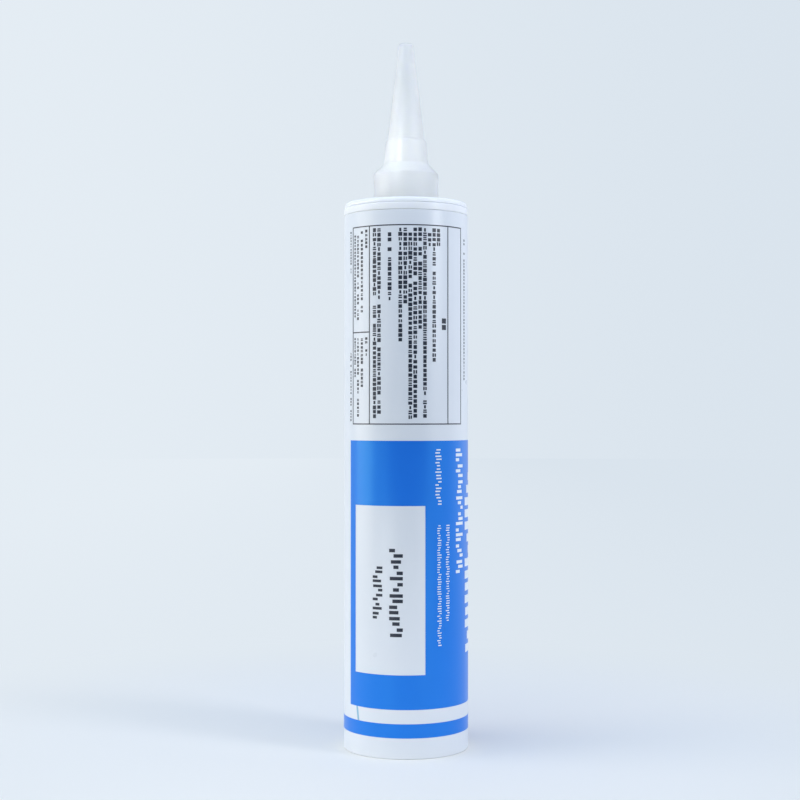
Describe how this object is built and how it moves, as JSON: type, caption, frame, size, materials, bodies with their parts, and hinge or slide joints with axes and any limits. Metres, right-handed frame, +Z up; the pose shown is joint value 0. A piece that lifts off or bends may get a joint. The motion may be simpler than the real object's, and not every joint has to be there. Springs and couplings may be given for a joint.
{
  "type": "caulk tube",
  "caption": "Upright sealant cartridge: white plastic barrel with a blue print field, screw-on translucent cone nozzle and a sliding follower plunger.",
  "frame": {"origin": "centre of the barrel's rear end, on the surface it stands on", "axes": "+Z up along the barrel towards the nozzle, -Y towards the front of the print, +X to its right"},
  "size_m": [0.0506, 0.0504, 0.2835],
  "materials": {
    "barrel_plastic": "satin white polyethylene",
    "head_plastic": "satin white polyethylene",
    "nozzle_plastic": "translucent natural polyethylene",
    "plunger_plastic": "milky polyethylene",
    "foil": "dull foil",
    "sealant": "soft wet paste",
    "blue_ink": "satin print",
    "dark_ink": "satin print",
    "white_ink": "satin print"
  },
  "bodies": {
    "cartridge": {"barrel": "barrel_plastic", "head": "head_plastic", "neck_foil": "foil", "sealant": "sealant", "blue_panel": "blue_ink", "blue_stripe": "blue_ink", "table_frame": "dark_ink", "table_text": "dark_ink", "window_marks": "dark_ink", "panel_marks": "white_ink"},
    "plunger": {"plunger": "plunger_plastic"},
    "nozzle": {"nozzle": "nozzle_plastic"}
  },
  "joints": [
    {"name": "plunger_slide", "type": "slide", "parent": "cartridge", "child": "plunger", "axis": [0, 0, 1], "range_m": [0, 0.183], "deforming": ["sealant"]},
    {"name": "nozzle_lift", "type": "slide", "parent": "cartridge", "child": "nozzle", "axis": [0, 0, 1], "range_m": [0, 0.03]}
  ]
}
